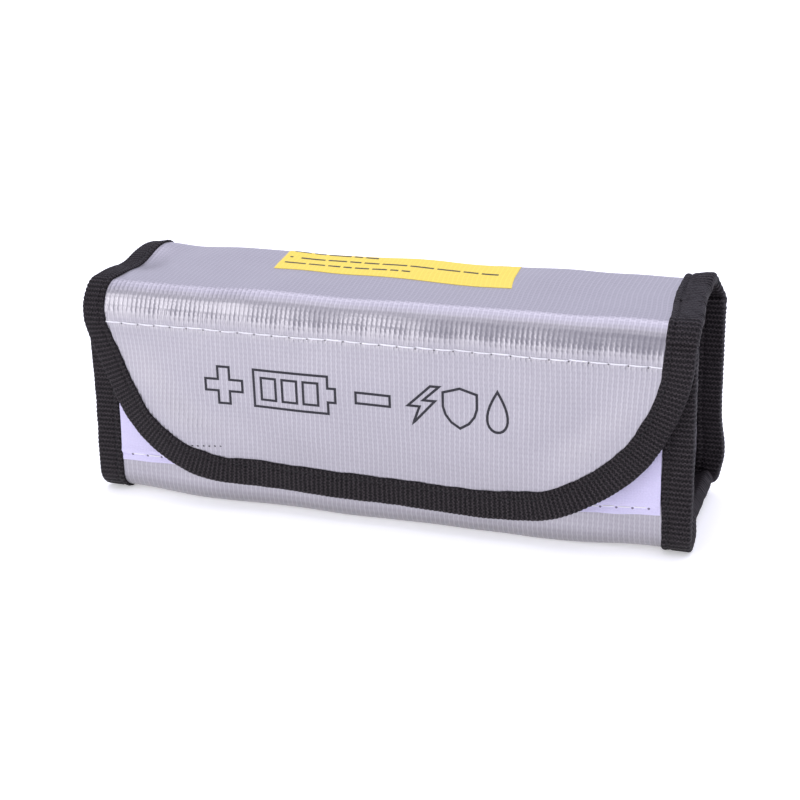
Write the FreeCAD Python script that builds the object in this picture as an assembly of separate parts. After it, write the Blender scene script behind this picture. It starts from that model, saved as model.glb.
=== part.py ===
import FreeCAD, Part
import math
import os

# Fire-resistant storage bag for model battery packs: a sewn box of coated glass cloth with a
# lid that folds over the top and a round-cornered flap that closes down the front.
# Millimetres. +X runs along the length, the flap is at -Y, +Z is up, and the origin is at the
# middle of the footprint. Every wall is three layers; every raw edge is bound with folded tape.

V = FreeCAD.Vector

# Overall size, over the binding tape
LENGTH = 201.0
DEPTH = 61.0
HEIGHT = 75.0

# Cloth stack and trimmings
SKIN = 0.4  # coated outer cloth
FELT = 0.8  # ceramic felt in the middle
LINING = 0.4  # inner cloth
STACK = SKIN + FELT + LINING
TAPE = 0.7  # one thickness of binding tape
TAPE_WIDTH = 9.5  # seen width of the folded tape
STRIP = 0.9  # hook strip or loop strip
STRIP_GAP = 0.2  # between the closed strips
LABEL = 0.15
THREAD = 0.15

# Folds and corners, to the outer skin
CORNER_R = 7.0
BACK_FOLD_R = 7.0
FRONT_FOLD_R = 9.0
FOLD_GAP_DEG = 1.5  # half of the slit between two bodies, as an angle of the fold

# Planes of the outer skin
EDGE_X = LENGTH / 2 - TAPE
BIND_X = LENGTH / 2 - TAPE_WIDTH
BACK_Y = DEPTH / 2 - TAPE
FLAP_Y = -DEPTH / 2 + TAPE
FRONT_Y = FLAP_Y + STACK + 2 * STRIP + STRIP_GAP
BOTTOM_Z = TAPE
TOP_Z = HEIGHT - TAPE
RIM_Z = 67.0  # cut edge of the front and end walls

# End walls, set in between the fins
PLATE_X = 90.4  # lining face
PLATE_OUT_X = PLATE_X + STACK

# Flap outline, at the cloth's edge
FLAP_CORNER_R = 55.0
FLAP_SIDE_LOW_Z = 9.6  # where the corners meet the bottom edge
FLAP_LOW_Z = 8.7  # middle of the bottom edge

# Hook and loop
STRIP_HEIGHT = 45.0
LOOP_LOW_Z = 12.4
HOOK_LOW_Z = 18.0

# Label, in X, and its two ends along the cloth
LABEL_LEFT_X = -46.5
LABEL_RIGHT_X = 36.5
LABEL_FRONT_Y = 1.0
LABEL_LOW_Z = 52.0

# Stitch rows
STITCH_PITCH = 5.5
STITCH_LENGTH = 4.2
STITCH_WIDTH = 0.6
FLAP_SEAM_Z = 62.2
LOOP_SEAM_Z = LOOP_LOW_Z + 2.4
SEAM_HALF_X = 88.0


def run(start, end):
    """Straight stretch of a path between two (y, z) points."""
    return ("run", start, end)


def turn(centre, radius, first, last):
    """Round stretch about a (y, z) centre, between two angles in degrees from +Y towards +Z."""
    return ("turn", centre, radius, first, last)


# The cloth goes down the front, under, up the back, over the top and down the front again, so
# its outer side is always on the right of the way it runs.
FRONT_CORNER = (FRONT_Y + CORNER_R, BOTTOM_Z + CORNER_R)
BACK_CORNER = (BACK_Y - CORNER_R, BOTTOM_Z + CORNER_R)
BACK_FOLD = (BACK_Y - BACK_FOLD_R, TOP_Z - BACK_FOLD_R)
FRONT_FOLD = (FLAP_Y + FRONT_FOLD_R, TOP_Z - FRONT_FOLD_R)

FIN_PATH = [
    run((FRONT_Y, RIM_Z), (FRONT_Y, FRONT_CORNER[1])),
    turn(FRONT_CORNER, CORNER_R, 180, 270),
    run((FRONT_CORNER[0], BOTTOM_Z), (BACK_CORNER[0], BOTTOM_Z)),
    turn(BACK_CORNER, CORNER_R, 270, 360),
    run((BACK_Y, BACK_CORNER[1]), (BACK_Y, RIM_Z)),
]
SHOULDER_PATH = [
    run((BACK_Y, RIM_Z), (BACK_Y, BACK_FOLD[1])),
    turn(BACK_FOLD, BACK_FOLD_R, 0, 45 - FOLD_GAP_DEG),
]
BODY_PATH = FIN_PATH[:4] + [run((BACK_Y, BACK_CORNER[1]), (BACK_Y, BACK_FOLD[1])), SHOULDER_PATH[1]]
LID_PATH = [
    turn(BACK_FOLD, BACK_FOLD_R, 45 + FOLD_GAP_DEG, 90),
    run((BACK_FOLD[0], TOP_Z), (FRONT_FOLD[0], TOP_Z)),
    turn(FRONT_FOLD, FRONT_FOLD_R, 90, 135 - FOLD_GAP_DEG),
]
FLAP_PATH = [
    turn(FRONT_FOLD, FRONT_FOLD_R, 135 + FOLD_GAP_DEG, 180),
    run((FLAP_Y, FRONT_FOLD[1]), (FLAP_Y, BOTTOM_Z)),
]


def on_circle(centre, radius, degrees, x):
    angle = math.radians(degrees)
    return V(x, centre[0] + radius * math.cos(angle), centre[1] + radius * math.sin(angle))


def path_points(piece, offset, x):
    """The ends of one stretch moved outward by offset, and the middle too if it is round."""
    if piece[0] == "turn":
        centre, radius, first, last = piece[1:]
        angles = (first, (first + last) / 2, last)
        return [on_circle(centre, radius + offset, angle, x) for angle in angles]
    (y0, z0), (y1, z1) = piece[1:]
    reach = math.hypot(y1 - y0, z1 - z0)
    out_y = offset * (z1 - z0) / reach
    out_z = -offset * (y1 - y0) / reach
    return [V(x, y0 + out_y, z0 + out_z), V(x, y1 + out_y, z1 + out_z)]


def path_edges(path, offset, x):
    edges = []
    for piece in path:
        points = path_points(piece, offset, x)
        if len(points) == 3:
            edges.append(Part.Arc(*points).toShape())
        else:
            edges.append(Part.makeLine(*points))
    return edges


def path_ends(path, offset, x):
    return path_points(path[0], offset, x)[0], path_points(path[-1], offset, x)[-1]


def sweep(edges, reach):
    """Closed loop of edges, filled and pushed along +X."""
    wire = Part.Wire(Part.__sortEdges__(edges))
    return Part.Face(wire).extrude(V(reach, 0, 0))


def band(path, inner, outer, x_low, x_high):
    """Layer between two outward offsets of a path."""
    inner_start, inner_end = path_ends(path, inner, x_low)
    outer_start, outer_end = path_ends(path, outer, x_low)
    edges = path_edges(path, inner, x_low) + path_edges(path, outer, x_low)
    edges.append(Part.makeLine(inner_start, outer_start))
    edges.append(Part.makeLine(inner_end, outer_end))
    return sweep(edges, x_high - x_low)


def well(offset, x_low, x_high):
    """The space inside the fin path, level with the rim."""
    start, end = path_ends(FIN_PATH, offset, x_low)
    return sweep(path_edges(FIN_PATH, offset, x_low) + [Part.makeLine(end, start)], x_high - x_low)


def block(x_range, y_range, z_range):
    size = [high - low for low, high in (x_range, y_range, z_range)]
    return Part.makeBox(*size, V(x_range[0], y_range[0], z_range[0]))


def flap_outline(margin):
    """Everything within the flap's outline grown by margin, as a prism along Y."""
    half = EDGE_X + margin
    radius = FLAP_CORNER_R + margin
    centre_x = EDGE_X - FLAP_CORNER_R
    centre_z = FLAP_SIDE_LOW_Z + FLAP_CORNER_R
    low_z = FLAP_LOW_Z - margin
    y = FLAP_Y - STACK - TAPE
    diagonal = radius * math.sqrt(0.5)

    def corner(side):
        return Part.Arc(
            V(side * half, y, centre_z),
            V(side * (centre_x + diagonal), y, centre_z - diagonal),
            V(side * centre_x, y, centre_z - radius),
        ).toShape()

    bottom = Part.Arc(
        V(-centre_x, y, centre_z - radius),
        V(0, y, low_z),
        V(centre_x, y, centre_z - radius),
    ).toShape()
    edges = [
        corner(-1),
        bottom,
        corner(1),
        Part.makeLine(V(half, y, centre_z), V(half, y, HEIGHT + 1)),
        Part.makeLine(V(half, y, HEIGHT + 1), V(-half, y, HEIGHT + 1)),
        Part.makeLine(V(-half, y, HEIGHT + 1), V(-half, y, centre_z)),
    ]
    return Part.Face(Part.Wire(Part.__sortEdges__(edges))).extrude(V(0, DEPTH / 4, 0))


def layers(make):
    """Outer cloth, felt and lining from make(low, high), where depth 0 is the outer skin."""
    return (
        make(0, SKIN),
        make(SKIN, SKIN + FELT),
        make(SKIN + FELT, STACK),
    )


def edge_tape(path, thickness, inner_x):
    """Tape folded over the +X edge of cloth of that thickness."""
    outside = band(path, 0, TAPE, BIND_X, LENGTH / 2)
    over = band(path, -thickness, 0, EDGE_X, LENGTH / 2)
    inside = band(path, -thickness - TAPE, -thickness, inner_x, LENGTH / 2)
    return outside.fuse([over, inside]).removeSplitter()


def stitches(z, skin_y):
    """A straight row of separate thread stitches, lying on a face at skin_y."""
    count = int(2 * SEAM_HALF_X / STITCH_PITCH) + 1
    first = -STITCH_PITCH * (count - 1) / 2
    row = []
    for i in range(count):
        x = first + i * STITCH_PITCH
        row.append(
            block(
                (x - STITCH_LENGTH / 2, x + STITCH_LENGTH / 2),
                (skin_y - THREAD, skin_y),
                (z - STITCH_WIDTH / 2, z + STITCH_WIDTH / 2),
            )
        )
    return Part.makeCompound(row)


def mirrored(shape):
    return shape.mirror(V(0, 0, 0), V(1, 0, 0))


def body_wrap(nodes):
    """Front, bottom and back in one length of cloth."""
    made = layers(lambda low, high: band(BODY_PATH, -high, -low, -EDGE_X, EDGE_X))
    for name, shape in zip(("body_outer_cloth", "body_core_felt", "body_lining"), made):
        nodes[name] = shape


def end_walls(nodes):
    """Each end wall is a shallow tray: a flat plate whose rim turns outward along the fins."""

    def tray(low, high):
        """One layer, where 0 is the side that faces out of the bag."""
        near = STACK - high
        far = STACK - low
        outside = well(-STACK - near, PLATE_X + near, EDGE_X)
        hollow = well(-STACK - far, PLATE_X + far, LENGTH)
        return outside.cut(hollow)

    for name, shape in zip(("end_outer_cloth", "end_core_felt", "end_lining"), layers(tray)):
        nodes[name + "_right"] = shape
        nodes[name + "_left"] = mirrored(shape)


def body_bindings(nodes):
    """Tape over the fins, the front rim and the rim of each end wall."""
    fin = edge_tape(FIN_PATH, 2 * STACK, PLATE_OUT_X + STRIP_GAP)
    shoulder = edge_tape(SHOULDER_PATH, STACK, BIND_X)
    corner = fin.fuse(shoulder).removeSplitter()
    nodes["corner_binding_right"] = corner
    nodes["corner_binding_left"] = mirrored(corner)

    low_z = RIM_Z + TAPE - TAPE_WIDTH
    rim_x = (-PLATE_X, PLATE_X)
    folded = block(rim_x, (FRONT_Y - TAPE, FRONT_Y + STACK + TAPE), (low_z, RIM_Z + TAPE))
    held = block(rim_x, (FRONT_Y, FRONT_Y + STACK), (0, RIM_Z))
    nodes["front_rim_binding"] = folded.cut(held)

    fin_depth = 2 * STACK + TAPE
    end_y = (FRONT_Y + fin_depth, BACK_Y - fin_depth)
    folded = block((PLATE_X - TAPE, PLATE_OUT_X + TAPE), end_y, (low_z, RIM_Z + TAPE))
    held = block((PLATE_X, PLATE_OUT_X), end_y, (0, RIM_Z))
    nodes["end_rim_binding_right"] = folded.cut(held)
    nodes["end_rim_binding_left"] = mirrored(nodes["end_rim_binding_right"])


def loop_strip(nodes):
    """Loop side of the closure on the front wall, with its lower seam."""
    face_y = FRONT_Y - STRIP
    nodes["loop_strip"] = block(
        (-BIND_X, BIND_X), (face_y, FRONT_Y), (LOOP_LOW_Z, LOOP_LOW_Z + STRIP_HEIGHT)
    )
    nodes["loop_strip_seam"] = stitches(LOOP_SEAM_Z, face_y)


def label(nodes):
    """Printed label over the back fold, in two pieces that part at the fold."""
    lid_side = [
        LID_PATH[0],
        run((BACK_FOLD[0], TOP_Z), (LABEL_FRONT_Y, TOP_Z)),
    ]
    back_side = [
        run((BACK_Y, LABEL_LOW_Z), (BACK_Y, BACK_FOLD[1])),
        SHOULDER_PATH[1],
    ]
    nodes["label_lid"] = band(lid_side, 0, LABEL, LABEL_LEFT_X, LABEL_RIGHT_X)
    nodes["label_back"] = band(back_side, 0, LABEL, LABEL_LEFT_X, LABEL_RIGHT_X)


def lid(nodes):
    made = layers(lambda low, high: band(LID_PATH, -high, -low, -EDGE_X, EDGE_X))
    for name, shape in zip(("lid_outer_cloth", "lid_core_felt", "lid_lining"), made):
        nodes[name] = shape
    nodes["lid_binding_right"] = edge_tape(LID_PATH, STACK, BIND_X)
    nodes["lid_binding_left"] = mirrored(nodes["lid_binding_right"])


def flap(nodes):
    """Front flap with its one long binding, the hook strip inside and the strip's top seam."""
    cloth_edge = flap_outline(0)
    tape_inner_edge = flap_outline(TAPE - TAPE_WIDTH)

    def layer(low, high):
        return band(FLAP_PATH, -high, -low, -EDGE_X, EDGE_X).common(cloth_edge)

    for name, shape in zip(("flap_outer_cloth", "flap_core_felt", "flap_lining"), layers(layer)):
        nodes[name] = shape

    folded = band(FLAP_PATH, -STACK - TAPE, TAPE, -LENGTH / 2, LENGTH / 2)
    folded = folded.common(flap_outline(TAPE))
    held = band(FLAP_PATH, -STACK, 0, -EDGE_X, EDGE_X).common(cloth_edge)
    nodes["flap_binding"] = folded.cut(held).cut(tape_inner_edge)

    inner_y = FLAP_Y + STACK
    strip = block(
        (-BIND_X, BIND_X), (inner_y, inner_y + STRIP), (HOOK_LOW_Z, HOOK_LOW_Z + STRIP_HEIGHT)
    )
    nodes["hook_strip"] = strip.common(tape_inner_edge)
    nodes["hook_strip_seam"] = stitches(FLAP_SEAM_Z, FLAP_Y)


def main():
    nodes = {}
    for make in (body_wrap, end_walls, body_bindings, loop_strip, label, lid, flap):
        make(nodes)
    os.makedirs("parts", exist_ok=True)
    for name, shape in nodes.items():
        shape.exportStep(f"parts/{name}.step")
        print(name, len(shape.Solids), "solids", round(shape.Volume, 1), "mm3", shape.isValid())


main()
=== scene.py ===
import math

import bpy
import numpy as np
from mathutils import Matrix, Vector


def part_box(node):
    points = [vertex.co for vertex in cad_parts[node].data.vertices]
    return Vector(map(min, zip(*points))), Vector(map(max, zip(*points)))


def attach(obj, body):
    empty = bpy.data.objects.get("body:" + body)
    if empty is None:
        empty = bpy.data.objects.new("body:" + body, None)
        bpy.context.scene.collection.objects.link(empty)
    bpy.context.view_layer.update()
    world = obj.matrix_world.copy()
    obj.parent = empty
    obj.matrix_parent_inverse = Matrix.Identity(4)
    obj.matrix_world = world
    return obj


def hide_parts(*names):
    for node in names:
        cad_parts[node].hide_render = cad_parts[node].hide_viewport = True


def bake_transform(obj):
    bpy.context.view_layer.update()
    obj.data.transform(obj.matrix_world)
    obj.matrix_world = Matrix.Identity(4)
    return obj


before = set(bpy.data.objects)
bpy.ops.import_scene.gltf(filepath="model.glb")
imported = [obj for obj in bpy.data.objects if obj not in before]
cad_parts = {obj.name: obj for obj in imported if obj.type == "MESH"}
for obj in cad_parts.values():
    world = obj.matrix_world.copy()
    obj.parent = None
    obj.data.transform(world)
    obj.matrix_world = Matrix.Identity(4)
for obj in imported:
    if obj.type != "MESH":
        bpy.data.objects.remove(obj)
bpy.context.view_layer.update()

# The cloth of the bag is treated as one flat strip. A point on it is (x, s): x along the bag and
# s the distance from the front rim, down the front, under, up the back, over the top and down
# the flap. cloth_point() lays any such point, at any depth, on the sewn bag. Lengths are in
# millimetres until a mesh is made.
MM = 0.001


def box_mm(node):
    low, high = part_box(node)
    return np.array(low) / MM, np.array(high) / MM


body_low, body_high = box_mm("body_outer_cloth")
lid_high = box_mm("lid_outer_cloth")[1]
flap_low = box_mm("flap_outer_cloth")[0]
bind_low, bind_high = box_mm("corner_binding_right")
plate_low, plate_high = box_mm("end_lining_right")
loop_low, loop_high = box_mm("loop_strip")
hook_low, hook_high = box_mm("hook_strip")
label_low, label_high = box_mm("label_lid")
label_back_low = box_mm("label_back")[0]

EDGE_X = body_high[0]  # cut edge of the cloth
END_X = bind_high[0]  # outer face of the tape
BIND_X = bind_low[0]  # inner edge of the tape
TAPE = END_X - EDGE_X
TAPE_LEG = EDGE_X - BIND_X
FRONT_Y = body_low[1]
BACK_Y = body_high[1]
BOTTOM_Z = body_low[2]
TOP_Z = lid_high[2]
FLAP_Y = flap_low[1]
RIM_Z = plate_high[2]
PLATE_X = plate_low[0]

SKIN, FELT, LINING = 0.4, 0.8, 0.4
STACK = SKIN + FELT + LINING
CORNER_R = 7.0
BACK_FOLD_R = 7.0
FRONT_FOLD_R = 9.0

# The flap's outline: straight sides, a round at each corner, and a bottom edge that bows down
FLAP_CORNER_R = 55.0
FLAP_SIDE_LOW_Z = 9.6
FLAP_LOW_Z = flap_low[2]
FLAP_CORNER_X = EDGE_X - FLAP_CORNER_R
FLAP_CORNER_Z = FLAP_SIDE_LOW_Z + FLAP_CORNER_R
FLAP_RISE = FLAP_SIDE_LOW_Z - FLAP_LOW_Z
FLAP_BOW_R = (FLAP_CORNER_X**2 + FLAP_RISE**2) / (2 * FLAP_RISE)

FRONT_CORNER = (FRONT_Y + CORNER_R, BOTTOM_Z + CORNER_R)
BACK_CORNER = (BACK_Y - CORNER_R, BOTTOM_Z + CORNER_R)
BACK_FOLD = (BACK_Y - BACK_FOLD_R, TOP_Z - BACK_FOLD_R)
FRONT_FOLD = (FLAP_Y + FRONT_FOLD_R, TOP_Z - FRONT_FOLD_R)

# Each stretch: a straight run (start, end), or a turn (centre, radius, first and last degree)
STRETCHES = {
    "front": ((FRONT_Y, RIM_Z), (FRONT_Y, FRONT_CORNER[1])),
    "front_corner": (FRONT_CORNER, CORNER_R, 180, 270),
    "bottom": ((FRONT_CORNER[0], BOTTOM_Z), (BACK_CORNER[0], BOTTOM_Z)),
    "back_corner": (BACK_CORNER, CORNER_R, 270, 360),
    "back": ((BACK_Y, BACK_CORNER[1]), (BACK_Y, BACK_FOLD[1])),
    "back_fold": (BACK_FOLD, BACK_FOLD_R, 0, 90),
    "lid": ((BACK_FOLD[0], TOP_Z), (FRONT_FOLD[0], TOP_Z)),
    "front_fold": (FRONT_FOLD, FRONT_FOLD_R, 90, 180),
    "flap": ((FLAP_Y, FRONT_FOLD[1]), (FLAP_Y, FLAP_LOW_Z)),
}


def stretch_length(stretch):
    if len(stretch) == 4:
        return stretch[1] * math.radians(stretch[3] - stretch[2])
    return math.dist(*stretch)


S = {}  # where each stretch starts along the strip
strip_length = 0.0
for stretch_name, stretch in STRETCHES.items():
    S[stretch_name] = strip_length
    strip_length += stretch_length(stretch)

FIN_END = S["back"] + RIM_Z - BACK_CORNER[1]
S_BACK = S["back"] + 47.0  # where the body's cloth ends and the back fold's begins
S_MID = S["lid"] + 27.0  # where the two pieces of skin meet on the lid
S_SEAM = S["flap"] + FRONT_FOLD[1] - 62.2  # white row of thread on the flap
S_LAP = S["front_fold"] + 9.0  # end of the upper tape, at the right of the front fold
S_LOOP_SEAM = S["front"] + RIM_Z - (loop_low[2] + 2.4)
STITCH_PITCH = 6.0
LOOP_PITCH = 5.0
CORD = 1.6  # from cord to cord of the coated cloth
TAPE_RIB = 1.6  # from rib to rib of the tape
TAPE_SEAM = 6.6  # from the cloth's edge to the row of stitches in the tape
GRID = {"indexing": "ij"}
SIDES = ((-1, "left"), (1, "right"))


def on_wall(z):
    """s of a height on the front wall."""
    return S["front"] + RIM_Z - z


def on_flap(z):
    return S["flap"] + FRONT_FOLD[1] - z


def strip_frame(s):
    """Place (y, z) of the outer skin at s, and which way is out."""
    s = np.asarray(s, float)
    place = np.zeros(s.shape + (2,))
    out = np.zeros(s.shape + (2,))
    names = list(STRETCHES)
    for name in names:
        stretch = STRETCHES[name]
        first, last = S[name], S[name] + stretch_length(stretch)
        here = np.ones(s.shape, bool)
        if name != names[0]:
            here &= s >= first
        if name != names[-1]:
            here &= s < last
        t = s[here] - first
        if len(stretch) == 4:
            centre, radius, start = stretch[:3]
            angle = math.radians(start) + t / radius
            out[here] = np.stack([np.cos(angle), np.sin(angle)], -1)
            place[here] = np.array(centre) + radius * out[here]
        else:
            way = (np.array(stretch[1]) - stretch[0]) / stretch_length(stretch)
            place[here] = np.array(stretch[0]) + t[..., None] * way
            out[here] = (way[1], -way[0])
    return place, out


def unit(vectors):
    """Each row brought to length 1."""
    return vectors / np.linalg.norm(vectors, axis=1)[:, None]


def ripple(u, v, wavelength, seed, waves=7):
    """Smooth, repeatable unevenness between about -1 and 1."""
    random = np.random.default_rng(seed)
    total = 0.0
    for _ in range(waves):
        heading = random.uniform(0, 2 * math.pi)
        reach = wavelength * random.uniform(0.7, 1.5)
        phase = random.uniform(0, 2 * math.pi)
        total = total + np.sin(
            2 * math.pi * (u * math.cos(heading) + v * math.sin(heading)) / reach + phase
        )
    return total / math.sqrt(waves) / 1.3


def ramp(value, low, high):
    """0 below low, 1 above high, smooth between."""
    t = np.clip((value - low) / (high - low), 0, 1)
    return t * t * (3 - 2 * t)


def hump(value, centre, width):
    return np.exp(-(((value - centre) / width) ** 2))


def edge_distance(x, s):
    """How far (x, s) lies inside the flap's cut edge."""
    z = S["flap"] + FRONT_FOLD[1] - s
    side = EDGE_X - np.abs(x)
    corner = FLAP_CORNER_R - np.hypot(np.abs(x) - FLAP_CORNER_X, z - FLAP_CORNER_Z)
    bottom = FLAP_BOW_R - np.hypot(x, z - FLAP_LOW_Z - FLAP_BOW_R)
    low = np.where(np.abs(x) > FLAP_CORNER_X, corner, bottom)
    return np.where(z > FLAP_CORNER_Z, side, low)


def swell(x, s):
    """How far the cloth stands out from its even shape: the folds, puckers and slack."""
    inside = ramp(EDGE_X - np.abs(x), 6, 22)
    lift = 0.35 * inside * ripple(x, s, 46, 3) + 0.08 * ripple(x, s, 17, 4)
    lid_y = BACK_FOLD[0] - (s - S["lid"])
    on_lid = ramp(s, S["back_fold"], S["lid"] + 4)
    on_lid *= 1 - ramp(s, S["front_fold"] - 6, S["front_fold"] + 6)

    # the left edge of the lid waves and droops at the back, the right edge stands up there
    left_edge = on_lid * ramp(-x, 78, 92)
    lift += left_edge * (1.3 * hump(lid_y, 19, 7) - 1.6 * hump(lid_y, 1, 9))
    lift -= on_lid * ramp(-x, 90, 100) * 0.9 * ramp(lid_y, 4, 18)
    lift += on_lid * ramp(x, 90, 100) * 1.7 * ramp(lid_y, 12, 24)

    # the fold is flattened between the round of the front edge and the row of thread
    fold = S["front_fold"] + 11.0
    crease = np.where(s < fold, ramp(s, S["front_fold"], fold), 1 - (s - fold) / (S_SEAM - fold))
    lift -= 1.4 * np.clip(crease, 0, 1) * (1 + 0.15 * ripple(x, s * 0, 60, 5))

    # the row of thread draws the cloth in, most at each needle hole
    row = hump(s, S_SEAM, 0.9) * (np.abs(x) < BIND_X)
    holes = 0.5 + 0.5 * np.cos(2 * math.pi * (x / STITCH_PITCH + 0.5))
    lift -= row * (0.16 + 0.2 * holes)
    drawn = hump(s, S_SEAM - 3.4, 3.2) + 0.7 * hump(s, S_SEAM + 2.6, 2.2)
    lift += 0.12 * drawn * ripple(x, s * 0, 7.0, 6)

    # slack in the flap, and its lower corners, which stand off the wall
    from_edge = edge_distance(x, s)
    below_seam = ramp(s, S_SEAM + 4, S_SEAM + 22)
    lift += 0.35 * ramp(s, S_SEAM, S_SEAM + 14) * ramp(from_edge, 6, 22)
    left = 2.7 * ramp(-from_edge, -25, -9) * hump(x, -68, 24)
    right = 2.6 * ramp(-from_edge, -25, -9) * hump(x, 68, 19)
    lift += below_seam * (left + right)

    # the front wall sags forward and down over its lower edge
    sag = 1.7 * hump(s, S["front_corner"] + 5.5, 5)
    lift += sag * ramp(-np.abs(x), -92, -60)
    return lift


def slide(x, s):
    """How far the cloth is pulled along itself, in x and along the strip."""
    z = S["flap"] + FRONT_FOLD[1] - s
    lid_y = BACK_FOLD[0] - (s - S["lid"])
    past_back = ramp(s, S["back_fold"] - 4, S["back_fold"] + 8)
    shear = 3.3 - 2.3 * ramp(-x, 90, 100)
    across = -shear * past_back * ramp(lid_y, -26, 12)
    across += 0.2 * ramp(x, 90, 100) * hump(s, S["back_fold"] + 4, 7)
    across -= past_back * ramp(-x, 88, 100) * hump(lid_y, 12, 9)
    across += 0.5 * ramp(-x, 60, 98) * ramp(s, S["lid"] + 24, S["front_fold"] + 4)
    pinch = np.where(x < 0, 2.8, 1.3) * hump(z, 43, 15) * ramp(np.abs(x), 60, 95)
    pinch -= 0.8 * ramp(-x, 80, 98) * hump(s, S_SEAM - 4, 9)
    pinch *= (s > S["front_fold"])
    across -= np.sign(x) * pinch
    front_z = RIM_Z - s
    across -= 1.1 * ramp(-x, 80, 91) * hump(front_z, 8, 20)

    # the right fin flares where the bottom turns up into the back
    across += 1.6 * ramp(x, 88, 99) * hump(s, S["back"] + 7, 8)

    # the flap's lower edge hangs a little askew
    rise = 0.7 * hump(x, -20, 34) - 0.9 * hump(x, 38, 15) + 1.6 * ramp(x, 55, 74)
    rise = rise + 0.7 * ramp(-x, 60, 80) + 0.6 * hump(x, -48, 20)
    return across, -rise * ramp(s, S_SEAM + 6, strip_length - 8)


def strip_rise(x):
    """The loop strip is sewn on a little askew: its right end rides higher."""
    return -1.9 * ramp(x, 66, 102)


CURL = math.radians(36)  # the lower run of each fin is bent up by this much


def cloth_point(x, s, offset):
    """Place in millimetres of (x, s) at that distance outside the skin."""
    x, s, offset = np.broadcast_arrays(*(np.asarray(v, float) for v in (x, s, offset)))
    across, along = slide(x, s)
    place, out = strip_frame(s + along)
    lift = offset + swell(x, s)

    # under the bag the fin turns up about its root
    turned = ramp(s, S["front_corner"] + 8, S["bottom"] + 11)
    turned = turned * (1 - ramp(s, S["back_corner"] - 4, S["back"] + 7))
    reach = np.abs(x) - PLATE_X
    angle = CURL * turned * ramp(reach, 0, 6)
    root = -STACK
    arm = lift - root
    folded = PLATE_X + reach * np.cos(angle) + arm * np.sin(angle)
    fin = (reach > 0) & (angle > 0)
    x_now = np.where(fin, np.sign(x) * folded, x) + across
    lift = np.where(fin, root - reach * np.sin(angle) + arm * np.cos(angle), lift)
    return np.stack([x_now, place[..., 0] + out[..., 0] * lift, place[..., 1] + out[..., 1] * lift], -1)


# ---------------- meshes


def build(name, points, faces, uv, look, sharp=50):
    """A mesh object from points in millimetres, faces, a flat coordinate per point and a material."""
    faces = np.asarray(faces)
    a, b, c = points[faces[:, 0]], points[faces[:, 1]], points[faces[:, 2]]
    volume = np.einsum("ij,ij->i", a, np.cross(b, c)).sum()
    if faces.shape[1] == 4:
        d = points[faces[:, 3]]
        volume += np.einsum("ij,ij->i", a, np.cross(c, d)).sum()
    if volume < 0:
        faces = faces[:, ::-1]
    mesh = bpy.data.meshes.new(name)
    mesh.from_pydata((points * MM).tolist(), [], faces.tolist())
    corners = np.empty(len(mesh.loops), np.int32)
    mesh.loops.foreach_get("vertex_index", corners)
    layer = mesh.uv_layers.new(name="flat")
    layer.data.foreach_set("uv", uv[corners].astype(np.float32).ravel())
    mesh.shade_smooth()
    mesh.set_sharp_from_angle(angle=math.radians(sharp))
    mesh.materials.append(look)
    piece = bpy.data.objects.new(name, mesh)
    bpy.context.scene.collection.objects.link(piece)
    return piece


def slab_parts(top, bottom, uv, keep=None):
    """Points, faces and flat coordinates of a closed sheet between two grids of points."""
    rows, columns = top.shape[:2]
    if keep is None:
        keep = np.ones((rows - 1, columns - 1), bool)
    index = np.arange(rows * columns).reshape(rows, columns)
    quads = np.stack(
        [index[:-1, :-1], index[1:, :-1], index[1:, 1:], index[:-1, 1:]], -1
    )[keep]
    starts = quads.ravel()
    ends = np.roll(quads, -1, axis=1).ravel()
    total = rows * columns
    rim = ~np.isin(starts * total + ends, ends * total + starts)
    a, b = starts[rim], ends[rim]
    sides = np.stack([b, a, a + total, b + total], -1)
    faces = np.concatenate([quads, quads[:, ::-1] + total, sides])
    points = np.concatenate([top.reshape(-1, 3), bottom.reshape(-1, 3)])
    flat = np.concatenate([uv.reshape(-1, 2)] * 2)
    used = np.unique(faces)
    renumber = np.zeros(len(points), np.int64)
    renumber[used] = np.arange(len(used))
    return points[used], renumber[faces], flat[used]


def slab(name, top, bottom, uv, look, keep=None):
    return build(name, *slab_parts(top, bottom, uv, keep), look)


def join_parts(parts):
    """Several (points, faces, uv) sets as one."""
    points, faces, flat, count = [], [], [], 0
    for part_points, part_faces, part_uv in parts:
        points.append(part_points)
        faces.append(np.asarray(part_faces) + count)
        flat.append(part_uv)
        count += len(part_points)
    return np.concatenate(points), np.concatenate(faces), np.concatenate(flat)


def tube_faces(count, around):
    """Point numbers and faces of a tube of count rings with that many points each."""
    index = np.arange(count * around).reshape(count, around)
    after = np.roll(index, -1, axis=1)
    quads = np.stack([index[:-1], index[1:], after[1:], after[:-1]], -1).reshape(-1, 4)
    return index, quads


def steps(start, end, size):
    return np.linspace(start, end, max(2, int(round(abs(end - start) / size)) + 1))


def whole_cells(on):
    """Which cells of a grid have all four corners on the sheet."""
    return on[:-1, :-1] & on[1:, :-1] & on[1:, 1:] & on[:-1, 1:]


# ---------------- materials


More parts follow.
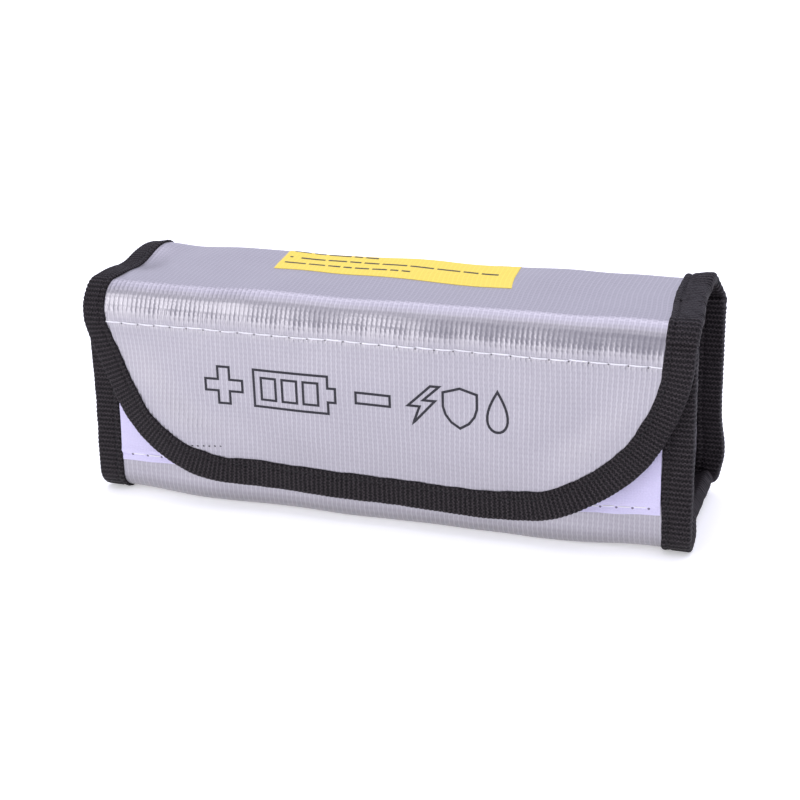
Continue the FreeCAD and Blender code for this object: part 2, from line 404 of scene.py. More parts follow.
class Look:
    """A material made of nodes, with short ways to wire them."""

    def __init__(self, name, **sockets):
        self.material = bpy.data.materials.new(name)
        self.material.use_nodes = True
        self.tree = self.material.node_tree
        self.shader = self.tree.nodes["Principled BSDF"]
        for socket, value in sockets.items():
            self.shader.inputs[socket.replace("_", " ")].default_value = value
        uv = self.node("ShaderNodeUVMap")
        uv.uv_map = "flat"
        split = self.node("ShaderNodeSeparateXYZ")
        self.link(uv.outputs[0], split.inputs[0])
        self.flat, self.across, self.along = uv.outputs[0], split.outputs[0], split.outputs[1]

    def node(self, kind):
        return self.tree.nodes.new(kind)

    def link(self, source, target):
        self.tree.links.new(source, target)

    def math(self, operation, *values):
        made = self.node("ShaderNodeMath")
        made.operation = operation
        for value, socket in zip(values, made.inputs):
            if isinstance(value, (int, float)):
                socket.default_value = value
            else:
                self.link(value, socket)
        return made.outputs[0]

    def times(self, *values):
        return self.math("MULTIPLY", *values)

    def plus(self, *values):
        return self.math("ADD", *values)

    def noise(self, scale, detail=3.0, roughness=0.5, stretch=(1, 1, 1)):
        """Noise over the flat coordinate, scale in features per millimetre."""
        mapping = self.node("ShaderNodeMapping")
        mapping.inputs["Scale"].default_value = stretch
        self.link(self.flat, mapping.inputs["Vector"])
        made = self.node("ShaderNodeTexNoise")
        made.inputs["Scale"].default_value = scale
        made.inputs["Detail"].default_value = detail
        made.inputs["Roughness"].default_value = roughness
        self.link(mapping.outputs[0], made.inputs["Vector"])
        return made.outputs["Fac"]

    def wave(self, coordinate, pitch, power=1.0):
        """Ridges from 0 to 1 at that pitch in millimetres, narrower with more power."""
        turned = self.times(coordinate, math.pi / pitch)
        ridge = self.math("ABSOLUTE", self.math("COSINE", turned))
        return self.math("POWER", ridge, power)

    def mixed(self, factor, low, high):
        """Colour from low to high as factor goes from 0 to 1."""
        made = self.node("ShaderNodeMix")
        made.data_type = "RGBA"
        self.link(factor, made.inputs["Factor"])
        made.inputs["A"].default_value = (*low, 1)
        made.inputs["B"].default_value = (*high, 1)
        return made.outputs["Result"]

    def between(self, factor, low, high):
        made = self.node("ShaderNodeMapRange")
        self.link(factor, made.inputs["Value"])
        made.inputs["To Min"].default_value = low
        made.inputs["To Max"].default_value = high
        return made.outputs["Result"]

    def colour(self, source):
        self.link(source, self.shader.inputs["Base Color"])

    def rough(self, source):
        self.link(source, self.shader.inputs["Roughness"])

    def bump(self, height, depth_mm):
        made = self.node("ShaderNodeBump")
        made.inputs["Distance"].default_value = depth_mm * MM
        self.link(height, made.inputs["Height"])
        self.link(made.outputs[0], self.shader.inputs["Normal"])


def coated_look(name, low, high, metal, gloss, relief):
    """Coated glass cloth: cords along the strip that weave a little from side to side, finer
    cords between them, and threads across, which step from cord to cord on the lid only."""
    look = Look(name, Metallic=metal, Specular_IOR_Level=0.3)
    drift = look.between(look.noise(0.05, 2), -0.5, 0.5)
    zigzag = look.times(look.math("PINGPONG", look.along, 0.95), 0.2)
    across = look.plus(look.plus(look.across, drift), zigzag)
    cords = look.wave(across, CORD, 2.0)
    fine = look.wave(across, CORD / 2, 1.5)
    on_top = look.math("LESS_THAN", look.along, S["front_fold"] + 3)
    on_top = look.times(on_top, look.math("GREATER_THAN", look.along, S["back_fold"]))
    turn = look.times(look.math("FLOOR", look.math("DIVIDE", across, CORD)), CORD / 2)
    turn = look.times(turn, on_top)
    threads = look.wave(look.plus(look.plus(look.along, drift), turn), CORD, 1.3)
    patchy = look.between(look.noise(0.07, 3, 0.6), -0.15, 0.95)
    height = look.times(cords, look.math("MAXIMUM", patchy, 0.1))
    height = look.plus(height, look.times(threads, 0.25))

    # near the row of thread, and low on the flap, the cloth is drawn up and its cords stand out
    sharp = look.wave(across, CORD, 6.0)
    bands = ((S_SEAM - 2.8, 3.6, 0.85), (S_SEAM + 2.8, 3.2, 1.0), (S_SEAM + 34, 12.0, 0.9))
    for centre, half, gain in bands:
        away = look.math("DIVIDE", look.math("SUBTRACT", look.along, centre), half)
        near = look.math("EXPONENT", look.times(look.math("POWER", away, 2.0), -1.0))
        drawn = look.times(near, look.between(look.noise(0.09, 2), -0.4, 1.9))
        drawn = look.times(look.math("MAXIMUM", drawn, 0.0), gain)
        height = look.plus(height, look.times(sharp, drawn))
    height = look.plus(height, look.times(look.noise(1.7, 3, 0.55), 0.45))
    # painted highlight and shade: the colour is lighter on the cord ridges and darker in the grooves
    # between them, and on the lid the threads across are painted lighter as glints; grain adds the
    # cloth's own uneven tone
    tone = look.times(look.plus(cords, fine), look.between(patchy, 0.3, 0.5))
    tone = look.plus(tone, look.times(threads, look.between(on_top, 0.12, 0.5)))
    grain = look.math("SUBTRACT", look.noise(0.9, 3, 0.7), 0.5)
    tone = look.plus(tone, look.times(grain, 0.5))
    look.colour(look.mixed(tone, low, high))
    look.rough(look.between(look.noise(0.4, 3, 0.6), *gloss))
    look.bump(height, relief)
    return look


def needle_hole_shade(look, s_row, pitch, size, shade):
    """Dark dots of painted shade in the needle holes, where a row of thread goes through, halfway
    between multiples of the pitch.
    """
    turn = look.math("MODULO", look.plus(look.across, pitch * 40), pitch)
    near_x = look.math("SUBTRACT", turn, pitch / 2)
    near_s = look.math("SUBTRACT", look.along, s_row + 0.3)
    square = look.plus(look.math("POWER", near_x, 2.0), look.math("POWER", near_s, 2.0))
    inside = look.math("LESS_THAN", square, size)
    source = look.shader.inputs["Base Color"].links[0].from_socket
    made = look.node("ShaderNodeMix")
    made.data_type = "RGBA"
    look.link(inside, made.inputs["Factor"])
    look.link(source, made.inputs["A"])
    made.inputs["B"].default_value = (*shade, 1)
    look.colour(made.outputs["Result"])


def tape_look(name):
    """Ribbed polyester webbing: the flat coordinate is (along the tape, across it)."""
    look = Look(name, Specular_IOR_Level=0.13)
    ribs = look.wave(look.across, TAPE_RIB, 1.8)
    turn = look.times(look.math("FLOOR", look.math("DIVIDE", look.across, TAPE_RIB)), 0.6)
    picks = look.wave(look.plus(look.along, turn), 1.2, 1.4)
    strands = look.wave(look.across, TAPE_RIB / 3, 1.0)
    weave = look.times(ribs, look.plus(picks, look.times(strands, 0.25)))
    worn = look.between(look.noise(1.1, 4, 0.75), -0.5, 1.6)
    grit = look.noise(3.4, 2, 0.6)
    # painted highlight: the rib tops are painted lighter than the near-black gaps between them,
    # standing in for the sheen of the ribs
    tone = look.times(look.math("POWER", weave, 1.7), look.math("MAXIMUM", worn, 0.1))
    speck = look.math("MAXIMUM", look.between(look.noise(2.3, 3, 0.8), -1.6, 1.9), 0.0)
    tone = look.plus(tone, look.times(speck, 0.7))
    look.colour(look.mixed(tone, (0.0022, 0.0018, 0.0024), (0.080, 0.068, 0.072)))
    look.rough(look.between(worn, 0.5, 0.75))
    look.bump(look.plus(weave, look.times(grit, 1.1)), 0.26)
    return look.material


def nap_look(name, low, high, pitch):
    """Hook or loop pile."""
    look = Look(name, Roughness=0.9, Sheen_Weight=0.3, Sheen_Roughness=0.5, Specular_IOR_Level=0.2)
    fuzz = look.noise(1.9, 5, 0.7)
    rows = look.times(look.wave(look.across, pitch), look.wave(look.along, pitch))
    height = look.plus(fuzz, look.times(rows, 0.3))
    look.colour(look.mixed(fuzz, low, high))
    look.bump(height, 0.2)
    return look


def plain_weave_look(name, low, high, pitch, depth):
    look = Look(name, Roughness=0.8, Specular_IOR_Level=0.3)
    over = look.wave(look.across, pitch)
    under = look.wave(look.along, pitch)
    weave = look.plus(over, under)
    tone = look.times(weave, look.noise(0.6, 3, 0.6))
    look.colour(look.mixed(tone, low, high))
    look.bump(weave, depth)
    return look.material


def fibre_look(name, low, high, scale, roughness=0.9):
    """Felt, thread and print: an uneven, fibrous colour."""
    look = Look(name, Roughness=roughness, Specular_IOR_Level=0.3)
    fibres = look.noise(scale, 4, 0.65, (1, 3, 1))
    look.colour(look.mixed(fibres, low, high))
    look.bump(fibres, 0.08)
    return look.material


silver_look = coated_look(
    "silver_cloth", (0.300, 0.287, 0.314), (0.465, 0.445, 0.475), 0.85, (0.29, 0.37), 0.085
)
# painted shade: dark dots in the needle holes of the flap's white row of thread
needle_hole_shade(silver_look, S_SEAM, STITCH_PITCH, 0.07, (0.10, 0.095, 0.10))
silver = silver_look.material
yellow = coated_look(
    "label_film", (0.76, 0.57, 0.055), (0.88, 0.69, 0.10), 0.0, (0.5, 0.65), 0.03
).material
tape_black = tape_look("binding_tape")
thread_black = fibre_look("black_thread", (0.004, 0.004, 0.0045), (0.03, 0.028, 0.03), 2.0, 0.6)
thread_white = fibre_look("white_thread", (0.72, 0.71, 0.74), (0.93, 0.92, 0.94), 2.0, 0.6)
loop_look = nap_look("loop_pile", (0.52, 0.48, 0.68), (0.74, 0.70, 0.90), 0.9)
# painted shade: dark dots in the needle holes of the loop strip's row of thread
needle_hole_shade(loop_look, S_LOOP_SEAM, LOOP_PITCH, 0.16, (0.16, 0.14, 0.2))
loop_white = loop_look.material
hook_white = nap_look("hook_pile", (0.60, 0.60, 0.66), (0.84, 0.84, 0.88), 1.5).material
lining_grey = plain_weave_look("lining_cloth", (0.30, 0.30, 0.31), (0.62, 0.62, 0.63), 0.8, 0.06)
felt_cream = fibre_look("core_felt", (0.66, 0.63, 0.55), (0.86, 0.84, 0.78), 0.9)
ink = fibre_look("grey_ink", (0.012, 0.011, 0.015), (0.035, 0.033, 0.042), 1.2, 0.6)


# ---------------- the cloth layers


def wrap_layer(name, s_range, sizes, depths, look):
    """One layer of the strip between two places along it, as a closed sheet."""
    s_line = steps(*s_range, sizes[1])
    x_line = steps(-EDGE_X, EDGE_X, sizes[0])
    x, s = np.meshgrid(x_line, s_line, **GRID)
    cut = 0.6
    keep = whole_cells(np.where(s > S["front_fold"], edge_distance(x, s), cut) >= cut)
    top = cloth_point(x, s, -depths[0])
    bottom = cloth_point(x, s, -depths[1])
    return slab(name, top, bottom, np.stack([x, s], -1), look, keep)


def bend_back(piece):
    """The piece crosses the fold between body and lid."""
    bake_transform(piece)


def bend_front(piece):
    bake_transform(piece)


def cloth_layers():
    layers = (
        ("outer_cloth", 0.0, SKIN, silver, "silver_cloth", 1.0, 0.7),
        ("core_felt", SKIN, SKIN + FELT, felt_cream, "felt", 2.0, 1.4),
        ("lining", SKIN + FELT, STACK, lining_grey, "lining_cloth", 1.6, 1.2),
    )
    for name, near, far, look, slot, plain_size, fold_size in layers:
        lengths = (
            ("body", (S["front"], S_BACK), (plain_size, plain_size), [f"body_{name}"]),
            ("back_fold", (S_BACK, S_MID), (plain_size, 0.5), [f"body_{name}", f"lid_{name}"]),
            ("flap", (S_MID, strip_length), (fold_size, fold_size), [f"lid_{name}", f"flap_{name}"]),
        )
        for part, s_range, sizes, nodes in lengths:
            piece = wrap_layer(f"wrap_{part}_{name}", s_range, sizes, (near, far), look)
            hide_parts(*nodes)
            if part == "body":
                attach(piece, "pouch_body")
            elif part == "back_fold":
                bend_back(piece)
            else:
                bend_front(piece)


# ---------------- end walls


def end_wall_point(side, t, r, depth):
    """A point of an end wall: t runs along the fin, r from its rim (0) past the fold (1) out
    along the fin to the cut edge (2). depth counts from the lining."""
    s = t * FIN_END
    flange_x = PLATE_X + depth + (EDGE_X - PLATE_X - depth) * np.clip(r - 1, 0, 1)
    fold = cloth_point(side * flange_x, s, -STACK - depth)
    rim_y = FRONT_Y + STACK + t * (BACK_Y - FRONT_Y - 2 * STACK)
    rim = np.stack([side * (PLATE_X + depth), rim_y, np.full_like(rim_y, RIM_Z)], -1)
    share = np.clip(r, 0, 1)
    point = rim + (fold - rim) * share[..., None]
    below_tape = np.clip((share - 0.13) / 0.87, 0, 1)
    hollow = np.sin(math.pi * below_tape) * np.sin(math.pi * t)
    sag = hollow * (1.6 + 0.5 * ripple(point[..., 1], point[..., 2], 24, 11))
    point[..., 0] -= side * sag
    return point


def end_walls():
    layers = (
        ("end_lining", 0.0, LINING, lining_grey, "lining_cloth"),
        ("end_core_felt", LINING, LINING + FELT, felt_cream, "felt"),
        ("end_outer_cloth", LINING + FELT, STACK, silver, "silver_cloth"),
    )
    t_line = steps(0, 1, 1 / 190)
    r_line = np.concatenate([steps(0, 1, 1 / 40), steps(1.1, 2, 0.1)])
    t, r = np.meshgrid(t_line, r_line, **GRID)
    for side, end in SIDES:
        for name, near, far, look, slot in layers:
            low = end_wall_point(side, t, r, np.full_like(t, near))
            high = end_wall_point(side, t, r, np.full_like(t, far))
            uv = np.stack([high[..., 1] + np.clip(r - 1, 0, 1) * 8, high[..., 2]], -1)
            wall = slab(f"{name}_skin_{end}", high, low, uv, look)
            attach(wall, "pouch_body")
            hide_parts(f"{name}_{end}")


# ---------------- binding tape


def tape_profile(depth, inner_leg):
    """Cross-section of tape folded over an edge: (distance in from the edge, height over the
    skin, how much the ribs show, outward direction), all the way round."""
    middle = -depth / 2
    half = TAPE - middle
    lead = np.array([TAPE_LEG, 8.45, 7.9, 7.3, 6.9, 6.6, 6.3, 5.7, 4.6, 3.4, 2.2, 1.0, 0.3])
    groove = 0.34 * hump(lead, TAPE_SEAM, 0.42)
    bead = 0.12 * hump(lead, 7.9, 0.5)
    rows = []
    for w, drop in zip(lead, bead - groove):
        rounding = 0.35 if w == TAPE_LEG else 0.0
        rows.append((w, half + drop - rounding, 1.0 - 0.6 * hump(w, TAPE_SEAM, 0.5), 0.0, 1.0))
    for degrees in (62, 38, 12):
        angle = math.radians(degrees)
        round_w = 0.3 - (TAPE + 0.3) * math.cos(angle)
        height = half * math.sin(angle) ** 0.6
        rows.append((round_w, height, 1.0, -math.cos(angle), math.sin(angle)))
    under = []
    for w, height, rib, way_w, way_o in reversed(rows):
        if w > 1:
            w = w * inner_leg / TAPE_LEG
        under.append((w, -height, rib, way_w, -way_o))
    hidden = [
        (inner_leg, middle + 0.02, 0.0, 0.0, 0.0),
        (0.1, middle + 0.02, 0.0, 0.0, 0.0),
        (0.1, -middle - 0.02, 0.0, 0.0, 0.0),
        (TAPE_LEG, -middle - 0.02, 0.0, 0.0, 0.0),
    ]
    profile = np.array(rows + under + hidden)
    profile[:, 1] += middle
    return profile


def tape_parts(rail, surface, depth, inner_leg=None, seed=1, rib_height=0.22, lap=None):
    """Tape swept along a rail. The rail holds, per step: two flat coordinates of the cloth's
    edge, the two-part direction inward, and the distance run. Before run = lap a second,
    closer-woven length of tape lies over the first."""
    profile = tape_profile(depth, TAPE_LEG if inner_leg is None else inner_leg)
    u, v, in_u, in_v, run = (column[:, None] for column in rail.T)
    w, height, rib, way_w, way_o = (column[None, :] for column in profile.T)
    sway = 0.22 * ripple(run, run * 0, 21, seed) + 0.1 * ripple(run, run * 0, 6, seed + 1)
    sway = sway * ramp(np.abs(v - S_MID), 0, 6)
    # drawn tight round the left fold, spread where it turns at the lower right
    narrow = 1.5 * (u < 0) * hump(v, S["front_fold"] + 9, 13)
    narrow = narrow - 0.8 * hump(u, 62, 24) * ramp(v, S_SEAM + 18, S_SEAM + 28)
    w = w + (sway - 0.3 - narrow) * np.clip(w / TAPE_LEG, 0, 1)
    uneven = 0.25 * ripple(run, w, 2.6, seed + 2)
    ribs = (0.5 + 0.5 * np.cos(2 * math.pi * run / TAPE_RIB)) ** 0.7
    lump = 0.07 * ripple(run, w, 9, seed + 3)
    over = np.zeros_like(run) if lap is None else (run < lap).astype(float)
    fade = 1 - 0.6 * over
    worn = 0.75 + 0.4 * ripple(run, run * 0, 30, seed + 4)
    seam = 0.0 if lap is None else 0.3 * hump(run, lap - 1.5, 0.35)
    grow = rib * (rib_height * fade * worn * (ribs - 0.6) * (1 + uneven) + lump)
    grow = grow + rib * (0.5 * over - seam)
    grow = grow + over * (0.3 * hump(w, TAPE_SEAM, 0.6) + 0.11 * ripple(run, w, 1.7, seed + 5) * rib)
    w = w + way_w * grow
    height = height + way_o * grow
    points = surface(u + in_u * w, v + in_v * w, height)
    index, quads = tube_faces(len(rail), len(profile))
    half = len(profile) // 2
    caps = []
    for ring, flip in ((index[0], False), (index[-1], True)):
        # the section is a narrow loop, so pairing its two sides fills it
        a = ring[:half]
        b = ring[::-1][:half]
        strip = np.stack([a[:-1], a[1:], b[1:], b[:-1]], -1)
        caps.append(strip[:, ::-1] if flip else strip)
    faces = np.concatenate([quads] + caps)
    face = np.sign(profile[None, :, 1] + 0.001)
    across = np.broadcast_to(profile[None, :, 0] * face, points.shape[:2])
    uv = np.stack([np.broadcast_to(run, points.shape[:2]), across], -1)
    return points.reshape(-1, 3), faces, uv.reshape(-1, 2)


def straight_rail(start, end, inward, run_from=0.0):
    """Rail between two flat points."""
    start, end = np.array(start, float), np.array(end, float)
    reach = math.dist(start, end)
    run = steps(0, reach, TAPE_RIB / 6)
    places = start + (end - start) * (run / reach)[:, None]
    ways = np.tile(np.array(inward, float), (len(run), 1))
    return np.column_stack([places, ways, run + run_from])


def edge_rail(side, start, end, run_from=0.0):
    """Rail along the cloth's cut edge on one side."""
    return straight_rail((side * EDGE_X, start), (side * EDGE_X, end), (-side, 0), run_from)


def flap_rail():
    """The flap's edge from the middle of the lid on the right, round the bottom, to the left."""
    s_side = on_flap(FLAP_CORNER_Z)
    size = TAPE_RIB / 6
    rows = []
    for s in steps(S_MID, s_side, size):
        rows.append((EDGE_X, s, -1.0, 0.0))
    for angle in steps(0, math.pi / 2, size / FLAP_CORNER_R)[1:]:
        out_x, out_s = math.cos(angle), math.sin(angle)
        edge_x = FLAP_CORNER_X + FLAP_CORNER_R * out_x
        rows.append((edge_x, s_side + FLAP_CORNER_R * out_s, -out_x, -out_s))
    for x in steps(FLAP_CORNER_X, 0, size)[1:]:
        out_x = x / FLAP_BOW_R
        out_s = math.sqrt(1 - out_x**2)
        low = on_flap(FLAP_LOW_Z) - FLAP_BOW_R + FLAP_BOW_R * out_s
        rows.append((x, low, -out_x, -out_s))
    right = np.array(rows)
    left = right[::-1][1:] * (-1, 1, -1, 1)
    both = np.concatenate([right, left])
    gaps = np.hypot(*np.diff(both[:, :2], axis=0).T)
    run = np.concatenate([[0], np.cumsum(gaps)]) + S_MID
    return np.column_stack([both, run])


def lay_tape(name, parts, nodes, body=None):
    piece = build(name, *parts, tape_black)
    if body:
        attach(piece, body)
    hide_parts(*nodes)
    return piece


def bindings():
    parts = tape_parts(flap_rail(), cloth_point, STACK, seed=21, lap=S_LAP)
    flap_tape = lay_tape("flap_edge_tape", parts, ["flap_binding"])
    bend_front(flap_tape)

    for side, end in SIDES:
        rail = edge_rail(side, S["front"], FIN_END)
        inner_leg = EDGE_X - PLATE_X - STACK - 0.3
        parts = tape_parts(rail, cloth_point, 2 * STACK, inner_leg, seed=31 + side)
        lay_tape(f"fin_tape_{end}", parts, [f"corner_binding_{end}"], "pouch_body")

        start = FIN_END - 1.5
        rail = edge_rail(side, start, S_MID, start)
        lap = 2 * strip_length if side > 0 else None
        parts = tape_parts(rail, cloth_point, STACK, seed=41 + side, lap=lap)
        lid_tape = lay_tape(f"lid_edge_tape_{end}", parts, [f"lid_binding_{end}"])
        bend_back(lid_tape)

    reach = EDGE_X - 1.0
    rail = straight_rail((-reach, S["front"]), (reach, S["front"]), (0, 1))
    parts = tape_parts(rail, cloth_point, STACK, seed=51)
    lay_tape("front_rim_tape", parts, ["front_rim_binding"], "pouch_body")

    rim_low, rim_high = box_mm("end_rim_binding_right")
    for side, end in SIDES:

        def on_plate(y, z, height):
            y, z, height = np.broadcast_arrays(y, z, height)
            return np.stack([side * (PLATE_X + STACK + height), y, z], -1)

        rail = straight_rail((rim_low[1], RIM_Z), (rim_high[1], RIM_Z), (0, -1))
        parts = tape_parts(rail, on_plate, STACK, seed=61 + side)
        lay_tape(f"end_rim_tape_{end}", parts, [f"end_rim_binding_{end}"], "pouch_body")


# ---------------- thread


def thread_parts(path, radius, flat=0.7, around=8):
    """One stitch: a closed spindle of thread along a short path of (place, out) pairs."""
    places = np.array([p for p, _ in path])
    outs = np.array([o for _, o in path])
    ways = unit(np.gradient(places, axis=0))
    sides = unit(np.cross(ways, outs))
    share = np.linspace(-1, 1, len(path))
    thick = radius * np.sqrt(np.clip(1 - share**6, 0.02, 1))
    angles = np.arange(around) * 2 * math.pi / around
    ring = (
        places[:, None]
        + sides[:, None] * (thick[:, None] * np.cos(angles))[..., None]
        + outs[:, None] * (thick[:, None] * flat * np.sin(angles))[..., None]
    )
    index, quads = tube_faces(len(path), around)
    caps = []
    for loop, flip in ((index[0], True), (index[-1], False)):
        for k in range(1, around // 2):
            cap = [loop[k - 1], loop[k], loop[around - 1 - k], loop[(around - k) % around]]
            caps.append(cap[::-1] if flip else cap)
    uv = np.stack(
        [np.repeat(places @ (1, 0, 0) + places @ (0, 0, 1), around), np.tile(angles, len(path))], -1
    )
    return ring.reshape(-1, 3), np.concatenate([quads, caps]), uv


def stitch_row(name, stitches, surface, radius, sink, look, seed):
    """Stitches between pairs of flat points. Each rises out of one hole and into the next."""
    random = np.random.default_rng(seed)
    parts = []
    for start, end, height in stitches:
        start, end = np.array(start), np.array(end)
        jitter = random.normal(0, 0.06, (2, 2))
        share = np.linspace(0, 1, 9)[:, None]
        flat = (start + jitter[0]) * (1 - share) + (end + jitter[1]) * share
        arch = height + radius * 0.55 - sink * (2 * share[:, 0] - 1) ** 8
        places = surface(flat[:, 0], flat[:, 1], arch)
        outs = unit(surface(flat[:, 0], flat[:, 1], arch + 0.5) - places)
        parts.append(thread_parts(list(zip(places, outs)), radius * random.uniform(0.9, 1.1)))
    return build(name, *join_parts(parts), look)


def row_along_x(s, reach, height, pitch=STITCH_PITCH, share=0.97, slack=0.12, seed=0):
    random = np.random.default_rng(seed)
    count = int(reach / pitch)
    row = []
    for i in range(-count, count + 1):
        x = i * pitch
        wander = random.normal(0, slack)
        half = share * pitch / 2
        row.append(((x - half, s + wander), (x + half, s + wander * 0.3), height))
    return row


def row_along_rail(rail, inset, height, pitch=2.9, share=0.72):
    """Stitches at a set distance in from a rail."""
    run = rail[:, 4] - rail[0, 4]
    row = []
    for i in range(int(run[-1] / pitch)):
        ends = []
        for place in (i * pitch + 0.4, (i + share) * pitch + 0.4):
            point = [np.interp(place, run, rail[:, k]) for k in range(4)]
            ends.append((point[0] + point[2] * inset, point[1] + point[3] * inset))
        row.append((ends[0], ends[1], height))
    return row


def tape_seam(name, rail, seed):
    """Dark stitches sunk in the groove of a tape."""
    row = row_along_rail(rail, TAPE_SEAM, TAPE - 0.3)
    seam = stitch_row(name, row, cloth_point, 0.2, 0.3, thread_black, seed)
    return seam


def threads():
    flap_row = row_along_x(S_SEAM, BIND_X, 0.02, seed=7)
    seam = stitch_row("hook_strip_thread", flap_row, cloth_point, 0.25, 0.14, thread_white, 8)
    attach(seam, "front_flap")
    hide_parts("hook_strip_seam")

    # a short row of tiny dark stitches at the flap's lower left
    tack_x = -62.7 + 1.96 * np.arange(6)
    tacks = [((x, on_flap(22.3)), (x + 0.6, on_flap(22.1)), 0.0) for x in tack_x]
    dots = stitch_row("flap_tacks", tacks, cloth_point, 0.2, 0.02, thread_black, 11)
    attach(dots, "front_flap")

    strip = loop_high[1] - loop_low[1]
    wall_row = row_along_x(S_LOOP_SEAM, BIND_X - 1, strip * 0.7, LOOP_PITCH, 0.94, seed=9)

    def on_strip(x, s, offset):
        return cloth_point(x, s + strip_rise(x), offset)

    seam = stitch_row("loop_strip_thread", wall_row, on_strip, 0.2, 0.4, thread_white, 10)
    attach(seam, "pouch_body")
    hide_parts("loop_strip_seam")

    bend_front(tape_seam("flap_tape_thread", flap_rail(), 12))
    for side, end in SIDES:
        rail = edge_rail(side, S["front"], FIN_END)
        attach(tape_seam(f"fin_tape_thread_{end}", rail, 14 + side), "pouch_body")
        rail = edge_rail(side, FIN_END, S_MID)
        bend_back(tape_seam(f"lid_tape_thread_{end}", rail, 16 + side))


# ---------------- hook and loop


def closure():
    thick = loop_high[1] - loop_low[1]
    top_s, low_s = on_wall(loop_high[2]), on_wall(loop_low[2])
    x, s = np.meshgrid(steps(loop_low[0], loop_high[0], 0.7), steps(top_s, low_s, 0.7), **GRID)
    pile = ramp(S_LOOP_SEAM + 0.4 - s, 0, 0.8) * ramp(s - top_s, 0, 1.5)
    noise = 0.06 * ripple(x, s, 1.9, 71) + 0.05 * ripple(x, s, 5.0, 72)
    seam = 0.25 * hump(s, S_LOOP_SEAM, 0.6)
    height = thick * (0.45 + 0.5 * pile) + noise * pile - seam
    low_edge = s > low_s - 0.8
    fold = 0.3 * ramp(-x, 70, 88) * hump(s, S_LOOP_SEAM - 1.2, 1.0)
    sewn_s = s + strip_rise(x)
    top = cloth_point(x, sewn_s + 0.25 * low_edge * ripple(x, s * 0, 14, 73), height + fold)
    under = cloth_point(x, sewn_s, 0.02)
    strip = slab("loop_strip_pile", top, under, np.stack([x, s], -1), loop_white)
    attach(strip, "pouch_body")
    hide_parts("loop_strip")

    thick = hook_high[1] - hook_low[1]
    top_s, low_s = on_flap(hook_high[2]), on_flap(hook_low[2])
    x, s = np.meshgrid(steps(hook_low[0], hook_high[0], 0.75), steps(top_s, low_s, 0.75), **GRID)
    keep = whole_cells(edge_distance(x, s) > TAPE_LEG + 0.1)
    tufts = np.cos(2 * math.pi * x / 1.5) * np.cos(2 * math.pi * s / 1.5)
    rim = ramp(edge_distance(x, s), TAPE_LEG, TAPE_LEG + 2) * ramp(s - top_s, 0, 1.5)
    height = thick * (0.6 + 0.4 * rim * np.clip(tufts, 0, 1))
    under = cloth_point(x, s, -STACK - height)
    top = cloth_point(x, s, -STACK)
    strip = slab("hook_strip_pile", top, under, np.stack([x, s], -1), hook_white, keep)
    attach(strip, "front_flap")
    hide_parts("hook_strip")


# ---------------- label and printed signs


LABEL_TURN = 0.065  # the label lies a little askew
LABEL_LEAN = 0.11


def patch(x_range, s_range, low, high, size=0.8):
    """Thin closed sheet on the cloth, over a rectangle of the label."""
    x, s = np.meshgrid(steps(*x_range, size), steps(*s_range, size), **GRID)
    slid = s + LABEL_TURN * (x + 5)
    leaned = x + LABEL_LEAN * (s - S["lid"])
    top, under = cloth_point(leaned, slid, high), cloth_point(leaned, slid, low)
    return slab_parts(top, under, np.stack([x, s], -1))


def label():
    """Yellow film over the back fold, printed with plain bars where such labels carry text."""
    s_low = S["back"] + label_back_low[2] - BACK_CORNER[1]
    s_high = S["lid"] + BACK_FOLD[0] - label_low[1]
    left, right = label_low[0] + 1.2, label_high[0] + 1.2
    film = build("label", *patch((left, right), (s_low, s_high), 0.01, 0.12), yellow)
    bend_back(film)
    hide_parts("label_lid", "label_back")

    random = np.random.default_rng(5)
    bars = []
    left, right = left + 2.0, right - 3.5
    for i, s in enumerate(np.arange(s_high - 7.8, s_low + 3, -6.4)):
        first = i % 2 == 1
        stop = right if first else left + random.uniform(30, 50)
        x = left
        if first:
            bars.append(patch((x, x + 1.1), (s - 0.5, s + 0.5), 0.1, 0.16, 0.5))
            x += 4.2
        while x < stop:
            word = min(random.uniform(2.6, 9.0), stop - x)
            if word > 1.5:
                bars.append(patch((x, x + word), (s - 0.62, s + 0.62), 0.1, 0.16, 0.5))
            x += word + 1.2
    print_piece = build("label_print", *join_parts(bars), ink)
    bend_back(print_piece)


def outline_parts(corners, width=0.8):
    """A closed line of that width through flat points on the flap, as a thin printed band."""
    corners = np.array(corners, float)
    dense = []
    for start, end in zip(corners, np.roll(corners, -1, axis=0)):
        count = max(1, int(math.dist(start, end) / 0.8))
        dense.extend(start + (end - start) * k / count for k in range(count))
    line = np.array(dense)
    back = unit(line - np.roll(line, 1, axis=0))
    ahead = unit(np.roll(line, -1, axis=0) - line)
    normal = unit(np.stack([-(back + ahead)[:, 1], (back + ahead)[:, 0]], -1))
    side = np.stack([-back[:, 1], back[:, 0]], -1)
    mitre = width / 2 / np.clip((normal * side).sum(1), 0.4, 1)
    rows = []
    for offset, height in ((-1, 0.01), (-1, 0.07), (1, 0.07), (1, 0.01)):
        edge = line + normal * (mitre * offset)[:, None]
        rows.append(cloth_point(edge[:, 0], on_flap(edge[:, 1]), height))
    points = np.stack(rows, 1)
    index = np.arange(len(line) * 4).reshape(len(line), 4)
    ahead_index = np.roll(index, -1, axis=0)
    faces = np.stack(
        [index, np.roll(index, -1, axis=1), np.roll(ahead_index, -1, axis=1), ahead_index], -1
    )
    uv = np.repeat(line, 4, axis=0)
    return points.reshape(-1, 3), faces.reshape(-1, 4), uv


def cross(x, z, reach, arm):
    quarter = [(arm, reach), (arm, arm), (reach, arm)]
    points = []
    for turn in range(4):
        c, s = round(math.cos(-turn * math.pi / 2)), round(math.sin(-turn * math.pi / 2))
        points.extend((x + c * px - s * pz, z + s * px + c * pz) for px, pz in quarter)
    return points


def rectangle(x0, x1, z0, z1):
    return [(x0, z0), (x1, z0), (x1, z1), (x0, z1)]


